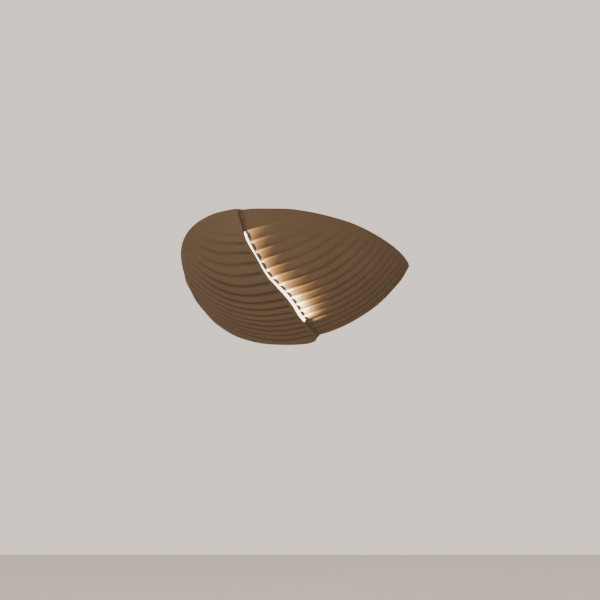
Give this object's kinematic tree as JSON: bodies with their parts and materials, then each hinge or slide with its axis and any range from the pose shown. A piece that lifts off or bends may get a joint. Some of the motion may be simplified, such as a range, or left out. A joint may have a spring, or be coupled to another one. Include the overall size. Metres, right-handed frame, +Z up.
{
  "type": "wall sconce",
  "caption": "Ribbed plaster shell wall light: two overlapping lobes with a light slit, open at the top, hung over a screw-base lamp on a steel wall plate.",
  "frame": {"origin": "middle of the two wall screw slots, on the wall plane", "axes": "+X to the right seen from the room, +Z up, -Y out of the wall into the room; the wall is the plane y = 0"},
  "size_m": [0.3841, 0.1326, 0.2284],
  "materials": {
    "plaster": "matt sand-coloured cast plaster",
    "opal_strip": "opal acrylic, lit warm white",
    "zinc_steel": "bright zinc plated sheet",
    "plate_paint": "white powder coat on steel sheet",
    "screw_steel": "zinc plated",
    "rivet_steel": "plated",
    "brass": "turned brass",
    "felt": "grey-beige felt",
    "grommet_rubber": "black",
    "holder_plastic": "white heat-resistant moulding",
    "porcelain": "white glaze",
    "lamp_nickel": "nickel plated",
    "lamp_insulation": "black vitrite",
    "lamp_potting": "grey-white potting",
    "opal_glass": "opal, lit warm white",
    "stem_glass": "clear",
    "filament": "phosphor strip",
    "block_plastic": "natural polyamide",
    "wire_brown": "brown insulation",
    "wire_blue": "blue insulation",
    "wire_earth": "green and yellow insulation",
    "tin": "tinned copper"
  },
  "bodies": {
    "wall_mount": {"wall_plate": "plate_paint", "shell_hooks": "zinc_steel", "hook_rivets": "rivet_steel", "cable_grommet": "grommet_rubber", "lampholder_bracket": "zinc_steel", "bracket_screws": "screw_steel", "lampholder_nipple": "screw_steel", "nipple_locknut": "screw_steel", "lock_washer": "screw_steel", "lampholder_cap": "holder_plastic", "lampholder_skirt": "holder_plastic", "lampholder_core": "porcelain", "centre_contact": "brass", "lampholder_thread": "brass", "holder_terminals": "brass", "holder_terminal_screws": "screw_steel", "terminal_block": "block_plastic", "terminal_tubes": "brass", "terminal_screws": "screw_steel", "block_screw": "screw_steel", "line_wire": "wire_brown", "neutral_wire": "wire_blue", "earth_wire": "wire_earth", "earth_tag": "tin", "earth_screw": "screw_steel"},
    "shell": {"shell_casting": "plaster", "slit_diffuser": "opal_strip", "hanger_bar": "zinc_steel", "hanger_inserts": "brass", "hanger_screws": "screw_steel", "felt_pads": "felt"},
    "lamp_base": {"lamp_cap": "lamp_nickel", "lamp_insulator": "lamp_insulation", "lamp_tip": "lamp_nickel", "lamp_driver": "lamp_potting"},
    "lamp_globe": {"lamp_glass": "opal_glass", "lamp_stem": "stem_glass", "lamp_filaments": "filament"}
  },
  "joints": [
    {"name": "shell_lift", "type": "slide", "parent": "wall_mount", "child": "shell", "axis": [0, 0, 1], "range_m": [0, 0.008]},
    {"name": "lamp_travel", "type": "slide", "parent": "wall_mount", "child": "lamp_base", "axis": [1, 0, 0], "range_m": [0, 0.0164]},
    {"name": "lamp_turn", "type": "hinge", "parent": "lamp_base", "child": "lamp_globe", "pos_m": [0, -0.045, 0], "axis": [1, 0, 0], "range_deg": [0, 1620]}
  ],
  "couplings": [
    {"joint": "lamp_travel", "follows": "lamp_turn", "m_per_rad": 0.00057757}
  ]
}
